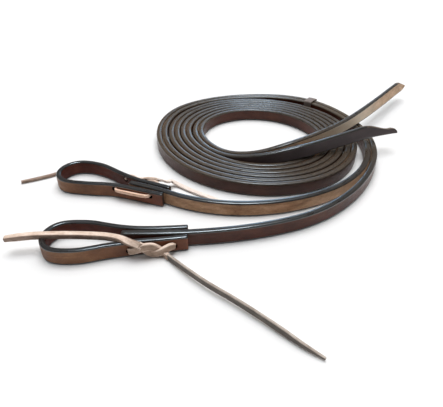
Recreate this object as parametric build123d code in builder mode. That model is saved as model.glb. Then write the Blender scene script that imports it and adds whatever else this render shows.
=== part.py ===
from build123d import *
import math
import os

os.makedirs("parts", exist_ok=True)

# Western split reins: two harness-leather straps with laced water-loop bit ends,
# laid flesh to flesh, stood on edge and wound together in a flat coil.
# Millimetres, +Z up, floor at Z = 0, origin under the middle of the object.

# ---------------------------------------------------------------- dimensions
REIN_WIDTH = 12.7          # half-inch strap, stands on edge
REIN_THICK = 5.6           # heavy harness leather
LOOP_THICK = 4.4           # lighter leather folded round the bit
LACE_WIDTH = 4.8           # three-sixteenth tie lace
LACE_THICK = 2.4
LACE_HOLE_R = 2.1
LACE_LEG_R = 1.8
HINGE_GAP = 1.2            # half of the gap left where a bit end flexes
KEEPER_LENGTH = 9.5
KEEPER_WALL = 1.3
KEEPER_CLEAR = 0.45
KEEPER_CENTRE = (-2.86, 26.41)   # middle of the arc that the keeper slides round
KEEPER_ANGLE = 52.31              # where on that arc it sits, degrees from +X
KEEPER_INNER_R = 102.43
KEEPER_OUTER_R = 115.29
ARC_SHARE = 0.45           # share of the shorter run that a bend takes up

# Centre lines (strap mid-width height) from the bit end inwards to the tail.
NEAR_REIN = [
    (-116.91, -137.81, 6.35), (-95.7, -138.14, 6.35), (-52.42, -135.7, 6.35), (-10.11, -127.84, 6.35),
    (30.66, -112.69, 6.35), (64.39, -85.35, 6.35), (90.33, -50.57, 6.35), (107.52, -10.74, 6.35), (111,
    32.68, 6.35), (100.05, 74.87, 6.35), (74.45, 110.17, 8.68), (37.35, 133.24, 8.28), (-5.54, 140.92,
    6.35), (-48.58, 132.51, 6.35), (-83.39, 111.96, 6.35), (-103.89, 84.19, 6.35), (-111.73, 46.42, 6.35),
    (-105.03, 3.18, 6.35), (-82.78, -34.38, 6.35), (-48.28, -61.06, 6.35), (-7.88, -72.1, 6.35), (30.03,
    -67.35, 6.35), (61.11, -49.56, 6.35), (83.35, -20.54, 6.35), (93.43, 16.92, 6.35), (88.43, 56.25, 6.35),
    (68.77, 90.57, 6.35), (37, 115.05, 6.35), (-1.92, 125.68, 6.35), (-40.25, 120.76, 6.35), (-70.72,
    103.59, 6.35), (-90.24, 78.52, 6.35), (-98.33, 46.32, 6.35), (-93.27, 9.27, 6.35), (-73.01, -25.4,
    6.35), (-41.65, -49.34, 6.35), (-6.25, -58.72, 6.35), (26.54, -54.42, 6.35), (53.26, -38.78, 6.35),
    (72.12, -13.5, 6.35), (80.42, 18.94, 6.35), (75.73, 53.04, 6.35), (58.24, 82.84, 6.35), (30.14, 103.95,
    6.35), (-3.59, 112.83, 6.35), (-35.83, 108.52, 6.35), (-61.83, 93.33, 6.35), (-79.22, 70.44, 6.35),
    (-86.05, 42.47, 6.35), (-80.31, 11.2, 6.35), (-61.12, -19.07, 6.35), (-33.53, -39.05, 6.35), (-3.92,
    -45.78, 6.35), (24.4, -40.91, 6.35), (48.04, -25.28, 6.35), (63.26, -1.42, 6.35), (67.88, 26.59, 6.35),
    (61.06, 54.87, 6.35), (43.33, 79.3, 6.35), (17.56, 95.3, 6.35), (-11.32, 100.24, 6.35), (-39, 93.45,
    6.35), (-61.07, 75.58, 6.35), (-72.49, 49.45, 6.35), (-70.01, 20.85, 6.35), (-57.14, -4.73, 6.35),
    (-35.28, -23.58, 7.09), (-6.04, -31.21, 12.58), (28.67, -25.5, 21.09), (67.22, -7.44, 22.59), (106.53,
    10.31, 24.41), (133.47, 17.7, 24.68),
]
FAR_REIN = [
    (-122.88, -67.82, 6.35), (-102.91, -75.13, 6.35), (-66.92, -94.53, 6.35), (-25.19, -101.16, 6.35),
    (17.94, -94.22, 6.35), (56.24, -75.33, 6.35), (84.9, -46.5, 6.35), (102.46, -6.81, 6.35), (104.42,
    36.83, 6.35), (91.46, 78.28, 6.8), (64.25, 110.75, 8.72), (26.55, 130.36, 7.78), (-16.8, 134.11, 6.35),
    (-58.21, 121.41, 6.35), (-87.03, 99.44, 6.35), (-102, 70.25, 6.35), (-105.06, 30.92, 6.35), (-92.01,
    -10.63, 6.35), (-64.37, -43.4, 6.35), (-28.03, -62.15, 6.35), (9.57, -65.41, 6.35), (42.41, -55.04,
    6.35), (67.87, -33.28, 6.35), (83.78, -1.94, 6.35), (86.76, 34.84, 6.35), (75.39, 70.2, 6.35), (51.2,
    98.62, 6.35), (17.36, 115.87, 6.35), (-19.82, 118.95, 6.35), (-52.74, 108.36, 6.35), (-76.56, 88.6,
    6.35), (-89.61, 61.62, 6.35), (-91.43, 28.82, 6.35), (-79.4, -5.74, 6.35), (-54.48, -34.05, 6.35),
    (-22.4, -49.72, 6.35), (9.9, -51.86, 6.35), (37.89, -42.3, 6.35), (59.24, -22.83, 6.35), (71.92, 4.52,
    6.35), (73.41, 36.09, 6.35), (62.63, 66.25, 6.35), (40.78, 90.21, 6.35), (11.09, 104.11, 6.35), (-20.17,
    105.88, 6.35), (-47.69, 96.08, 6.35), (-68.47, 76.71, 6.35), (-79.18, 50.42, 6.35), (-77.01, 20.8,
    6.35), (-61.93, -8.21, 6.35), (-37.74, -29.85, 6.35), (-9.77, -39.18, 6.35), (18.52, -36.53, 6.35),
    (42.88, -21.9, 6.35), (58.14, 2.09, 6.35), (61.58, 30.26, 6.35), (52.88, 57.26, 6.35), (34.33, 78.71,
    6.35), (9.05, 91.53, 6.35), (-19.26, 93.39, 6.35), (-45.54, 82.43, 6.35), (-63.33, 59.98, 6.35),
    (-66.28, 31.59, 6.35), (-56.4, 5.05, 6.35), (-36.64, -15.83, 6.67), (-8.31, -23.95, 11.59), (22.86,
    -20.9, 20.95), (53.03, 1.18, 20.84), (85.16, 30.07, 20.24), (113.67, 62.5, 20.37), (140.78, 96.13,
    20.08), (167.05, 130.27, 19.73), (189.18, 158.49, 19.45),
]
# Centre lines of the folded water loops, back leaf to front leaf.
NEAR_LOOP = [
    (-68.52, -130.56, 6.35), (-81.6, -131.57, 6.35), (-93.66, -132.27, 6.35), (-107, -132.21, 6.35),
    (-119.7, -130.56, 6.35), (-131.13, -127.7, 6.35), (-143.2, -124.46, 6.35), (-162.26, -124.63, 6.35),
    (-170.92, -130.92, 6.35), (-174.23, -141.1, 6.35), (-170.92, -151.28, 6.35), (-162.26, -157.57, 6.35),
    (-145.74, -157.86, 6.35), (-135.57, -155.07, 6.35), (-125.42, -151.89, 6.35), (-114.62, -149.86, 6.35),
    (-103.19, -146.81, 6.35), (-91.76, -145.67, 6.35), (-80.33, -144.02, 6.35), (-68.01, -141.99, 6.35),
]
FAR_LOOP = [
    (-87.32, -76.33, 6.35), (-96.65, -72.26, 6.35), (-106.11, -68.26, 6.35), (-115.64, -63.95, 6.35),
    (-124.65, -58.29, 6.35), (-134.3, -51.69, 6.35), (-144.46, -43.56, 6.35), (-154.62, -36.45, 6.35),
    (-172.47, -30.91, 6.35), (-183.79, -35.03, 6.35), (-190.17, -45.24, 6.35), (-188.91, -57.22, 6.35),
    (-180.55, -65.88, 6.35), (-163.51, -68.71, 6.35), (-152.08, -69.98, 6.35), (-140.66, -70.74, 6.35),
    (-130.5, -73.28, 6.35), (-120.34, -76.84, 6.35), (-109.54, -80.77, 6.35), (-100.65, -84.08, 6.35),
    (-92.27, -87, 6.35),
]
NOSE_CORNERS = {"near": range(7, 12), "far": range(8, 13)}
# Free ends of the tie laces.
NEAR_LACE_LEFT = [
    (-96.95, -155.63, 11.68), (-101.92, -154.69, 13.84), (-108.9, -151, 14.41), (-116.27, -146.94, 14.33),
    (-125.42, -144.34, 14.22), (-137.48, -143.13, 14.12), (-152.72, -142.5, 14.1), (-169.23, -142.75, 14.1),
    (-184.47, -143.38, 13.84), (-199.46, -145.67, 12.95),
]
NEAR_LACE_RIGHT = [
    (-80.58, -155.58, 4.83), (-75, -161.93, 3.94), (-65.72, -170.05, 3.43), (-52.39, -182.12, 3.3), (-37.78,
    -193.17, 3.18), (-22.54, -205.61, 2.79), (-7.3, -218.82, 2.16), (5.39, -230.25, 1.65), (14.67, -237.11,
    1.4),
]
FAR_LACE_LEFT = [
    (-124.78, -45.59, 7.11), (-133.92, -39.5, 4.32), (-145.74, -32.39, 1.78), (-160.98, -23.75, 1.4),
    (-177.48, -22.48, 1.4), (-191.46, -30.74, 1.4), (-205.42, -41.78, 1.4), (-226.13, -51.18, 1.4),
]
FAR_LACE_RIGHT = [
    (-98.11, -58.29, 7.11), (-92.4, -54.23, 4.06), (-83.5, -54.87, 1.78), (-72.08, -64.14, 1.4), (-58.74,
    -74.3, 1.4), (-43.5, -83.19, 1.4), (-28.26, -88.77, 1.4), (-15.56, -89.92, 1.4),
]

# Lace holes: two through each bit end, and the direction they are punched in.
NEAR_HOLES = {
    'points': [(-110.3, -137.92, 5.33), (-77.92, -136.72, 5.33)],
    'direction': (-0.0372, 0.9993),
    'across': (0.9993, 0.0372, 0.0),
    'bar_at': 9.2,
    'bar_thick': 2.2,
    'bar_slope': -0.03,
    'knot_at': 11.5,
    'knot_slope': 0.125,
    'knot_length': 38.0,
    'knot_height': 8.0,
    'knot_thick': 4.2,
}
FAR_HOLES = {
    'points': [(-131.08, -64.53, 8.89), (-100.09, -77.23, 8.89)],
    'direction': (0.3792, 0.9253),
    'across': (0.9253, -0.3792, 0.0),
    'bar_at': 10.6,
    'bar_thick': 2.2,
    'bar_slope': 0.06,
    'knot_at': 10.6,
    'knot_slope': -0.13,
    'knot_length': 38.0,
    'knot_height': 8.0,
    'knot_thick': 4.2,
}
NEAR_FLEX_RUN = 3          # the run of the route whose middle is the flexing point
FAR_FLEX_RUN = 3
NEAR_TAIL_RUN = 65
FAR_TAIL_RUN = 64


# ------------------------------------------------------------------- helpers
def bend_radii(points, full=()):
    """Radius of each inner corner: tangent length is a share of the shorter run."""
    radii = []
    for i in range(1, len(points) - 1):
        before = Vector(*points[i]) - Vector(*points[i - 1])
        after = Vector(*points[i + 1]) - Vector(*points[i])
        half_turn = math.radians(before.get_angle(after)) / 2
        share = 0.4995 if i in full else ARC_SHARE
        radii.append(share * min(before.length, after.length) / math.tan(half_turn))
    return radii


def middle(a, b, shift=0.0):
    """Middle of the run a-b, moved along it by shift."""
    a, b = Vector(*a), Vector(*b)
    m = (a + b) * 0.5 + (b - a).normalized() * shift
    return (m.X, m.Y, m.Z)


def stretch(route, first, last, shift_first, shift_last):
    """Points and radii of the route between the middles of two runs (None = the route's own end)."""
    radii = bend_radii(route)
    points, bends = [], []
    lo = 0 if first is None else first + 1
    hi = len(route) - 1 if last is None else last
    if first is not None:
        points.append(middle(route[first], route[first + 1], shift_first))
    for i in range(lo, hi + 1):
        points.append(route[i])
        if 0 < i < len(route) - 1:
            bends.append(radii[i - 1])
    if last is not None:
        points.append(middle(route[last], route[last + 1], -shift_last))
    return points, bends


def start_plane(points):
    """Plane across the start of a path: local X sideways, local Y up."""
    along = Vector(*points[1]) - Vector(*points[0])
    side = Vector(along.Y, -along.X, 0).normalized()
    return Plane(origin=Vector(*points[0]), x_dir=side, z_dir=along.normalized())


def report(name, points, radii, section_area, solid, cuts=0.0):
    length = 0.0
    with BuildLine(mode=Mode.PRIVATE) as line:
        FilletPolyline(*points, radius=radii)
    length = sum(e.length for e in line.edges())
    print(name, "length", round(length, 1), "volume", round(solid.volume, 1),
          "section x length", round(section_area * length - cuts, 1),
          "radii", round(min(radii), 1), "to", round(max(radii), 1))


def box_plane(centre, direction):
    """Plane whose local Z runs along a horizontal direction."""
    return Plane(origin=centre, x_dir=(direction[1], -direction[0], 0), z_dir=(direction[0], direction[1], 0))


# -------------------------------------------------------------- near rein
near_bit_points, near_bit_radii = stretch(NEAR_REIN, None, NEAR_FLEX_RUN, 0, HINGE_GAP)
with BuildPart() as near_rein_bit_end:
    with BuildLine() as near_bit_line:
        FilletPolyline(*near_bit_points, radius=near_bit_radii)
    with BuildSketch(start_plane(near_bit_points)):
        Rectangle(REIN_THICK, REIN_WIDTH)
    sweep(path=near_bit_line.wire())
    for hole in NEAR_HOLES["points"]:
        with BuildSketch(box_plane(hole, NEAR_HOLES["direction"])):
            Circle(LACE_HOLE_R)
        extrude(amount=20, both=True, mode=Mode.SUBTRACT)
near_rein_bit_end.part.label = "near_rein_bit_end"
report("near_rein_bit_end", near_bit_points, near_bit_radii, REIN_THICK * REIN_WIDTH, near_rein_bit_end.part,
       2 * math.pi * LACE_HOLE_R ** 2 * REIN_THICK)

near_coil_points, near_coil_radii = stretch(NEAR_REIN, NEAR_FLEX_RUN, NEAR_TAIL_RUN, HINGE_GAP, 0)
with BuildPart() as near_rein_coil:
    with BuildLine() as near_coil_line:
        FilletPolyline(*near_coil_points, radius=near_coil_radii)
    with BuildSketch(start_plane(near_coil_points)):
        Rectangle(REIN_THICK, REIN_WIDTH)
    sweep(path=near_coil_line.wire())
near_rein_coil.part.label = "near_rein_coil"
report("near_rein_coil", near_coil_points, near_coil_radii, REIN_THICK * REIN_WIDTH, near_rein_coil.part)

near_tail_points, near_tail_radii = stretch(NEAR_REIN, NEAR_TAIL_RUN, None, 0, 0)
with BuildPart() as near_rein_tail:
    with BuildLine() as near_tail_line:
        FilletPolyline(*near_tail_points, radius=near_tail_radii)
    with BuildSketch(start_plane(near_tail_points)):
        Rectangle(REIN_THICK, REIN_WIDTH)
    sweep(path=near_tail_line.wire())
    # the tail ends in a long slanted cut from its upper edge
    near_tip = Vector(*NEAR_REIN[-1])
    near_dir = (near_tip - Vector(*NEAR_REIN[-2])).normalized()
    near_side = Vector(near_dir.Y, -near_dir.X, 0).normalized()
    with BuildSketch(Plane(origin=near_tip, x_dir=near_dir, z_dir=near_side)):
        with BuildLine():
            Polyline((-36, 6.4), (-30, 5.33), (-24, 3.43), (-18, 1.27), (-13, -0.25), (-9, -0.64), (-4.5, -0.25),
                     (-1.5, -2.29), (0, -4.57), (3, -6), (3, 9), (-36, 9), close=True)
        make_face()
    extrude(amount=8, both=True, mode=Mode.SUBTRACT)
near_rein_tail.part.label = "near_rein_tail"
report("near_rein_tail", near_tail_points, near_tail_radii, REIN_THICK * REIN_WIDTH, near_rein_tail.part)

# --------------------------------------------------------------- far rein
far_bit_points, far_bit_radii = stretch(FAR_REIN, None, FAR_FLEX_RUN, 0, HINGE_GAP)
with BuildPart() as far_rein_bit_end:
    with BuildLine() as far_bit_line:
        FilletPolyline(*far_bit_points, radius=far_bit_radii)
    with BuildSketch(start_plane(far_bit_points)):
        Rectangle(REIN_THICK, REIN_WIDTH)
    sweep(path=far_bit_line.wire())
    for hole in FAR_HOLES["points"]:
        with BuildSketch(box_plane(hole, FAR_HOLES["direction"])):
            Circle(LACE_HOLE_R)
        extrude(amount=20, both=True, mode=Mode.SUBTRACT)
far_rein_bit_end.part.label = "far_rein_bit_end"
report("far_rein_bit_end", far_bit_points, far_bit_radii, REIN_THICK * REIN_WIDTH, far_rein_bit_end.part,
       2 * math.pi * LACE_HOLE_R ** 2 * REIN_THICK)

far_coil_points, far_coil_radii = stretch(FAR_REIN, FAR_FLEX_RUN, FAR_TAIL_RUN, HINGE_GAP, 0)
with BuildPart() as far_rein_coil:
    with BuildLine() as far_coil_line:
        FilletPolyline(*far_coil_points, radius=far_coil_radii)
    with BuildSketch(start_plane(far_coil_points)):
        Rectangle(REIN_THICK, REIN_WIDTH)
    sweep(path=far_coil_line.wire())
far_rein_coil.part.label = "far_rein_coil"
report("far_rein_coil", far_coil_points, far_coil_radii, REIN_THICK * REIN_WIDTH, far_rein_coil.part)

far_tail_points, far_tail_radii = stretch(FAR_REIN, FAR_TAIL_RUN, None, 0, 0)
with BuildPart() as far_rein_tail:
    with BuildLine() as far_tail_line:
        FilletPolyline(*far_tail_points, radius=far_tail_radii)
    with BuildSketch(start_plane(far_tail_points)):
        Rectangle(REIN_THICK, REIN_WIDTH)
    sweep(path=far_tail_line.wire())
    # the end is cut to a point that lies low on the face
    far_tip = Vector(*FAR_REIN[-1])
    far_dir = (far_tip - Vector(*FAR_REIN[-2])).normalized()
    far_side = Vector(far_dir.Y, -far_dir.X, 0).normalized()
    with BuildSketch(Plane(origin=far_tip, x_dir=far_dir, z_dir=far_side)):
        with BuildLine():
            Polyline((-15, -6.4), (-10, -5.83), (-5, -4.76), (0, -3.3), (3, -2.6), (3, -9), (-15, -9), close=True)
        make_face()
        with BuildLine():
            Polyline((-19, 6.4), (-1.5, -1.27), (0, -2.54), (3, -2.5), (3, 9), (-19, 9), close=True)
        make_face()
    extrude(amount=8, both=True, mode=Mode.SUBTRACT)
far_rein_tail.part.label = "far_rein_tail"
report("far_rein_tail", far_tail_points, far_tail_radii, REIN_THICK * REIN_WIDTH, far_rein_tail.part)

# ------------------------------------------------------- folded water loops
near_loop_radii = bend_radii(NEAR_LOOP, NOSE_CORNERS["near"])
with BuildPart() as near_bit_loop:
    with BuildLine() as near_loop_line:
        FilletPolyline(*NEAR_LOOP, radius=near_loop_radii)
    with BuildSketch(start_plane(NEAR_LOOP)):
        Rectangle(LOOP_THICK, REIN_WIDTH)
    sweep(path=near_loop_line.wire())
    for hole in NEAR_HOLES["points"]:
        with BuildSketch(box_plane(hole, NEAR_HOLES["direction"])):
            Circle(LACE_HOLE_R)
        extrude(amount=20, both=True, mode=Mode.SUBTRACT)
near_bit_loop.part.label = "near_bit_loop"
report("near_bit_loop", NEAR_LOOP, near_loop_radii, LOOP_THICK * REIN_WIDTH, near_bit_loop.part,
       4 * math.pi * LACE_HOLE_R ** 2 * LOOP_THICK)

far_loop_radii = bend_radii(FAR_LOOP, NOSE_CORNERS["far"])
with BuildPart() as far_bit_loop:
    with BuildLine() as far_loop_line:
        FilletPolyline(*FAR_LOOP, radius=far_loop_radii)
    with BuildSketch(start_plane(FAR_LOOP)):
        Rectangle(LOOP_THICK, REIN_WIDTH)
    sweep(path=far_loop_line.wire())
    for hole in FAR_HOLES["points"]:
        with BuildSketch(box_plane(hole, FAR_HOLES["direction"])):
            Circle(LACE_HOLE_R)
        extrude(amount=20, both=True, mode=Mode.SUBTRACT)
far_bit_loop.part.label = "far_bit_loop"
report("far_bit_loop", FAR_LOOP, far_loop_radii, LOOP_THICK * REIN_WIDTH, far_bit_loop.part,
       4 * math.pi * LACE_HOLE_R ** 2 * LOOP_THICK)


# ------------------------------------------------------------- tie laces
# Each lace goes through both holes: a straight bar on one face of the stack,
# a twisted knot on the other. Planes: X along the bar, Z along the holes.
near_mid = (Vector(*NEAR_HOLES["points"][0]) + Vector(*NEAR_HOLES["points"][1])) * 0.5
near_span = (Vector(*NEAR_HOLES["points"][1]) - Vector(*NEAR_HOLES["points"][0])).length
near_along = Vector(*NEAR_HOLES["across"])
near_through = Vector(*NEAR_HOLES["direction"], 0)
near_back = near_mid + near_through * NEAR_HOLES["bar_at"]
near_front = near_mid - near_through * NEAR_HOLES["knot_at"]
near_back_plane = Plane(origin=near_back, x_dir=near_along + near_through * NEAR_HOLES["bar_slope"],
                        z_dir=near_through - near_along * NEAR_HOLES["bar_slope"])
near_front_plane = Plane(origin=near_front, x_dir=near_along + near_through * NEAR_HOLES["knot_slope"],
                         z_dir=near_through - near_along * NEAR_HOLES["knot_slope"])
with BuildPart() as near_lace_tie:
    with BuildSketch(near_back_plane):
        SlotOverall(near_span + LACE_WIDTH, LACE_WIDTH)
    extrude(amount=NEAR_HOLES["bar_thick"])
    with BuildSketch(near_front_plane):
        SlotOverall(NEAR_HOLES["knot_length"], NEAR_HOLES["knot_height"])
    extrude(amount=-NEAR_HOLES["knot_thick"])
    with BuildSketch(Plane(origin=near_mid, x_dir=near_along, z_dir=near_through)):
        with Locations((-near_span / 2, 0), (near_span / 2, 0)):
            Circle(LACE_LEG_R)
    extrude(amount=NEAR_HOLES["bar_at"] + NEAR_HOLES["bar_thick"] / 2)
    with BuildSketch(Plane(origin=near_mid, x_dir=near_along, z_dir=near_through)):
        with Locations((-near_span / 2, 0), (near_span / 2, 0)):
            Circle(LACE_LEG_R)
    extrude(amount=-(NEAR_HOLES["knot_at"] + NEAR_HOLES["knot_thick"] / 2))
near_lace_tie.part.label = "near_lace_tie"

far_mid = (Vector(*FAR_HOLES["points"][0]) + Vector(*FAR_HOLES["points"][1])) * 0.5
far_span = (Vector(*FAR_HOLES["points"][1]) - Vector(*FAR_HOLES["points"][0])).length
far_along = Vector(*FAR_HOLES["across"])
far_through = Vector(*FAR_HOLES["direction"], 0)
far_back = far_mid + far_through * FAR_HOLES["knot_at"]
far_front = far_mid - far_through * FAR_HOLES["bar_at"]
far_back_plane = Plane(origin=far_back, x_dir=far_along + far_through * FAR_HOLES["knot_slope"],
                       z_dir=far_through - far_along * FAR_HOLES["knot_slope"])
far_front_plane = Plane(origin=far_front, x_dir=far_along + far_through * FAR_HOLES["bar_slope"],
                        z_dir=far_through - far_along * FAR_HOLES["bar_slope"])
with BuildPart() as far_lace_tie:
    with BuildSketch(far_back_plane):
        SlotOverall(FAR_HOLES["knot_length"], FAR_HOLES["knot_height"])
    extrude(amount=FAR_HOLES["knot_thick"])
    with BuildSketch(far_front_plane):
        SlotOverall(far_span + LACE_WIDTH, LACE_WIDTH)
    extrude(amount=-FAR_HOLES["bar_thick"])
    with BuildSketch(Plane(origin=far_mid, x_dir=far_along, z_dir=far_through)):
        with Locations((-far_span / 2, 0), (far_span / 2, 0)):
            Circle(LACE_LEG_R)
    extrude(amount=FAR_HOLES["knot_at"] + FAR_HOLES["knot_thick"] / 2)
    with BuildSketch(Plane(origin=far_mid, x_dir=far_along, z_dir=far_through)):
        with Locations((-far_span / 2, 0), (far_span / 2, 0)):
            Circle(LACE_LEG_R)
    extrude(amount=-(FAR_HOLES["bar_at"] + FAR_HOLES["bar_thick"] / 2))
far_lace_tie.part.label = "far_lace_tie"


near_left_points = list(reversed(NEAR_LACE_LEFT))
near_left_radii = bend_radii(near_left_points)
with BuildPart() as near_lace_tail_left:
    with BuildLine() as near_left_line:
        FilletPolyline(*near_left_points, radius=near_left_radii)
    with BuildSketch(start_plane(near_left_points)):
        Rectangle(LACE_WIDTH, LACE_THICK)
    sweep(path=near_left_line.wire())
near_lace_tail_left.part.label = "near_lace_tail_left"
report("near_lace_tail_left", near_left_points, near_left_radii, LACE_WIDTH * LACE_THICK, near_lace_tail_left.part)

near_right_points = list(reversed(NEAR_LACE_RIGHT))
near_right_radii = bend_radii(near_right_points)
with BuildPart() as near_lace_tail_right:
    with BuildLine() as near_right_line:
        FilletPolyline(*near_right_points, radius=near_right_radii)
    with BuildSketch(start_plane(near_right_points)):
        Rectangle(LACE_WIDTH, LACE_THICK)
    sweep(path=near_right_line.wire())
near_lace_tail_right.part.label = "near_lace_tail_right"
report("near_lace_tail_right", near_right_points, near_right_radii, LACE_WIDTH * LACE_THICK, near_lace_tail_right.part)

far_left_points = list(reversed(FAR_LACE_LEFT))
far_left_radii = bend_radii(far_left_points)
with BuildPart() as far_lace_tail_left:
    with BuildLine() as far_left_line:
        FilletPolyline(*far_left_points, radius=far_left_radii)
    with BuildSketch(start_plane(far_left_points)):
        Rectangle(LACE_WIDTH, LACE_THICK)
    sweep(path=far_left_line.wire())
far_lace_tail_left.part.label = "far_lace_tail_left"
report("far_lace_tail_left", far_left_points, far_left_radii, LACE_WIDTH * LACE_THICK, far_lace_tail_left.part)

far_right_points = list(reversed(FAR_LACE_RIGHT))
far_right_radii = bend_radii(far_right_points)
with BuildPart() as far_lace_tail_right:
    with BuildLine() as far_right_line:
        FilletPolyline(*far_right_points, radius=far_right_radii)
    with BuildSketch(start_plane(far_right_points)):
        Rectangle(LACE_WIDTH, LACE_THICK)
    sweep(path=far_right_line.wire())
far_lace_tail_right.part.label = "far_lace_tail_right"
report("far_lace_tail_right", far_right_points, far_right_radii, LACE_WIDTH * LACE_THICK, far_lace_tail_right.part)

# ------------------------------------------------------------- keeper band
# A closed band round both straps. The pair is lifted by its wall there.
keeper_half = math.degrees(KEEPER_LENGTH / 2 / ((KEEPER_INNER_R + KEEPER_OUTER_R) / 2))
keeper_low = 1.32
keeper_high = 15.23
keeper_start = math.radians(KEEPER_ANGLE - keeper_half)
keeper_plane = Plane(origin=(*KEEPER_CENTRE, 0), x_dir=(math.cos(keeper_start), math.sin(keeper_start), 0),
                     z_dir=(math.sin(keeper_start), -math.cos(keeper_start), 0))
with BuildPart() as coil_keeper:
    with BuildSketch(keeper_plane):
        with Locations(((KEEPER_INNER_R + KEEPER_OUTER_R) / 2, (keeper_low + keeper_high) / 2)):
            RectangleRounded(KEEPER_OUTER_R - KEEPER_INNER_R + 2 * KEEPER_WALL,
                             keeper_high - keeper_low + 2 * KEEPER_WALL, 1.6)
            RectangleRounded(KEEPER_OUTER_R - KEEPER_INNER_R, keeper_high - keeper_low, 0.4, mode=Mode.SUBTRACT)
    revolve(axis=Axis((*KEEPER_CENTRE, 0), (0, 0, 1)), revolution_arc=2 * keeper_half)
coil_keeper.part.label = "coil_keeper"

PARTS = [near_rein_bit_end, near_rein_coil, near_rein_tail, far_rein_bit_end, far_rein_coil, far_rein_tail,
         near_bit_loop, far_bit_loop, near_lace_tie, far_lace_tie, near_lace_tail_left, near_lace_tail_right,
         far_lace_tail_left, far_lace_tail_right, coil_keeper]
for piece in PARTS:
    export_step(piece.part, f"parts/{piece.part.label}.step")
    box = piece.part.bounding_box()
    print(piece.part.label, "solids", len(piece.part.solids()), "box",
          [round(v, 1) for v in (*box.min, *box.max)])
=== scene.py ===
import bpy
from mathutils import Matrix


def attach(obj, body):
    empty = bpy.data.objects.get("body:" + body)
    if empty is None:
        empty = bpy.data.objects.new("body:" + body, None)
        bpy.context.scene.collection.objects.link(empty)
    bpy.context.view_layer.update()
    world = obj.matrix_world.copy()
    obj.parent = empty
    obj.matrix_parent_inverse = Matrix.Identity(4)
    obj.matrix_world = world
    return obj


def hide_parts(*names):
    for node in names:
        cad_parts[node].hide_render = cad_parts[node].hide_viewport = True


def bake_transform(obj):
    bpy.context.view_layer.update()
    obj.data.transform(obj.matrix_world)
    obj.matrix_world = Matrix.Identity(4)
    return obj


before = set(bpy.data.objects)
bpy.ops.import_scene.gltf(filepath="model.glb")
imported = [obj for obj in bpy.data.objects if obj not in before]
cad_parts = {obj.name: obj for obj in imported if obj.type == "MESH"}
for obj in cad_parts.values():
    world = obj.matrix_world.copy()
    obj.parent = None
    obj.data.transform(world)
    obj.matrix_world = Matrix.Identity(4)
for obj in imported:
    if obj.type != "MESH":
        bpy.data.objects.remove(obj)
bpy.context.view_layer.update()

import math

import bpy
import bmesh
import numpy as np
from mathutils import Vector, noise

# ------------------------------------------------------------------ camera
camera_data = bpy.data.cameras.new("studio_camera")
camera_data.sensor_width = 36.0
camera_data.lens = 34.94
camera_data.clip_start = 0.005
camera_data.clip_end = 20.0
camera = bpy.data.objects.new("studio_camera", camera_data)
camera.location = (-0.04350, -0.38443, 0.2089)
camera.rotation_euler = (math.radians(55.24), 0.0, 0.0)
bpy.context.collection.objects.link(camera)
bpy.context.scene.camera = camera

# ------------------------------------------------- routes, metres, bit end to tail
NEAR_REIN = [
    (-0.11691, -0.13781, 0.00635), (-0.0957, -0.13814, 0.00635), (-0.05242, -0.1357, 0.00635), (-0.01011,
    -0.12784, 0.00635), (0.03066, -0.11269, 0.00635), (0.06439, -0.08535, 0.00635), (0.09033, -0.05057,
    0.00635), (0.10752, -0.01074, 0.00635), (0.111, 0.03268, 0.00635), (0.10005, 0.07487, 0.00635), (0.07445,
    0.11017, 0.00868), (0.03735, 0.13324, 0.00828), (-0.00554, 0.14092, 0.00635), (-0.04858, 0.13251,
    0.00635), (-0.08339, 0.11196, 0.00635), (-0.10389, 0.08419, 0.00635), (-0.11173, 0.04642, 0.00635),
    (-0.10503, 0.00318, 0.00635), (-0.08278, -0.03438, 0.00635), (-0.04828, -0.06106, 0.00635), (-0.00788,
    -0.0721, 0.00635), (0.03003, -0.06735, 0.00635), (0.06111, -0.04956, 0.00635), (0.08335, -0.02054,
    0.00635), (0.09343, 0.01692, 0.00635), (0.08843, 0.05625, 0.00635), (0.06877, 0.09057, 0.00635), (0.037,
    0.11505, 0.00635), (-0.00192, 0.12568, 0.00635), (-0.04025, 0.12076, 0.00635), (-0.07072, 0.10359,
    0.00635), (-0.09024, 0.07852, 0.00635), (-0.09833, 0.04632, 0.00635), (-0.09327, 0.00927, 0.00635),
    (-0.07301, -0.0254, 0.00635), (-0.04165, -0.04934, 0.00635), (-0.00625, -0.05872, 0.00635), (0.02654,
    -0.05442, 0.00635), (0.05326, -0.03878, 0.00635), (0.07212, -0.0135, 0.00635), (0.08042, 0.01894,
    0.00635), (0.07573, 0.05304, 0.00635), (0.05824, 0.08284, 0.00635), (0.03014, 0.10395, 0.00635),
    (-0.00359, 0.11283, 0.00635), (-0.03583, 0.10852, 0.00635), (-0.06183, 0.09333, 0.00635), (-0.07922,
    0.07044, 0.00635), (-0.08605, 0.04247, 0.00635), (-0.08031, 0.0112, 0.00635), (-0.06112, -0.01907,
    0.00635), (-0.03353, -0.03905, 0.00635), (-0.00392, -0.04578, 0.00635), (0.0244, -0.04091, 0.00635),
    (0.04804, -0.02528, 0.00635), (0.06326, -0.00142, 0.00635), (0.06788, 0.02659, 0.00635), (0.06106,
    0.05487, 0.00635), (0.04333, 0.0793, 0.00635), (0.01756, 0.0953, 0.00635), (-0.01132, 0.10024, 0.00635),
    (-0.039, 0.09345, 0.00635), (-0.06107, 0.07558, 0.00635), (-0.07249, 0.04945, 0.00635), (-0.07001,
    0.02085, 0.00635), (-0.05714, -0.00473, 0.00635), (-0.03528, -0.02358, 0.00709), (-0.00604, -0.03121,
    0.01258), (0.03007, -0.0282, 0.02019), (0.06772, -0.00934, 0.02169), (0.10653, 0.01031, 0.02441),
    (0.13347, 0.0177, 0.02468),
]
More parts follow.
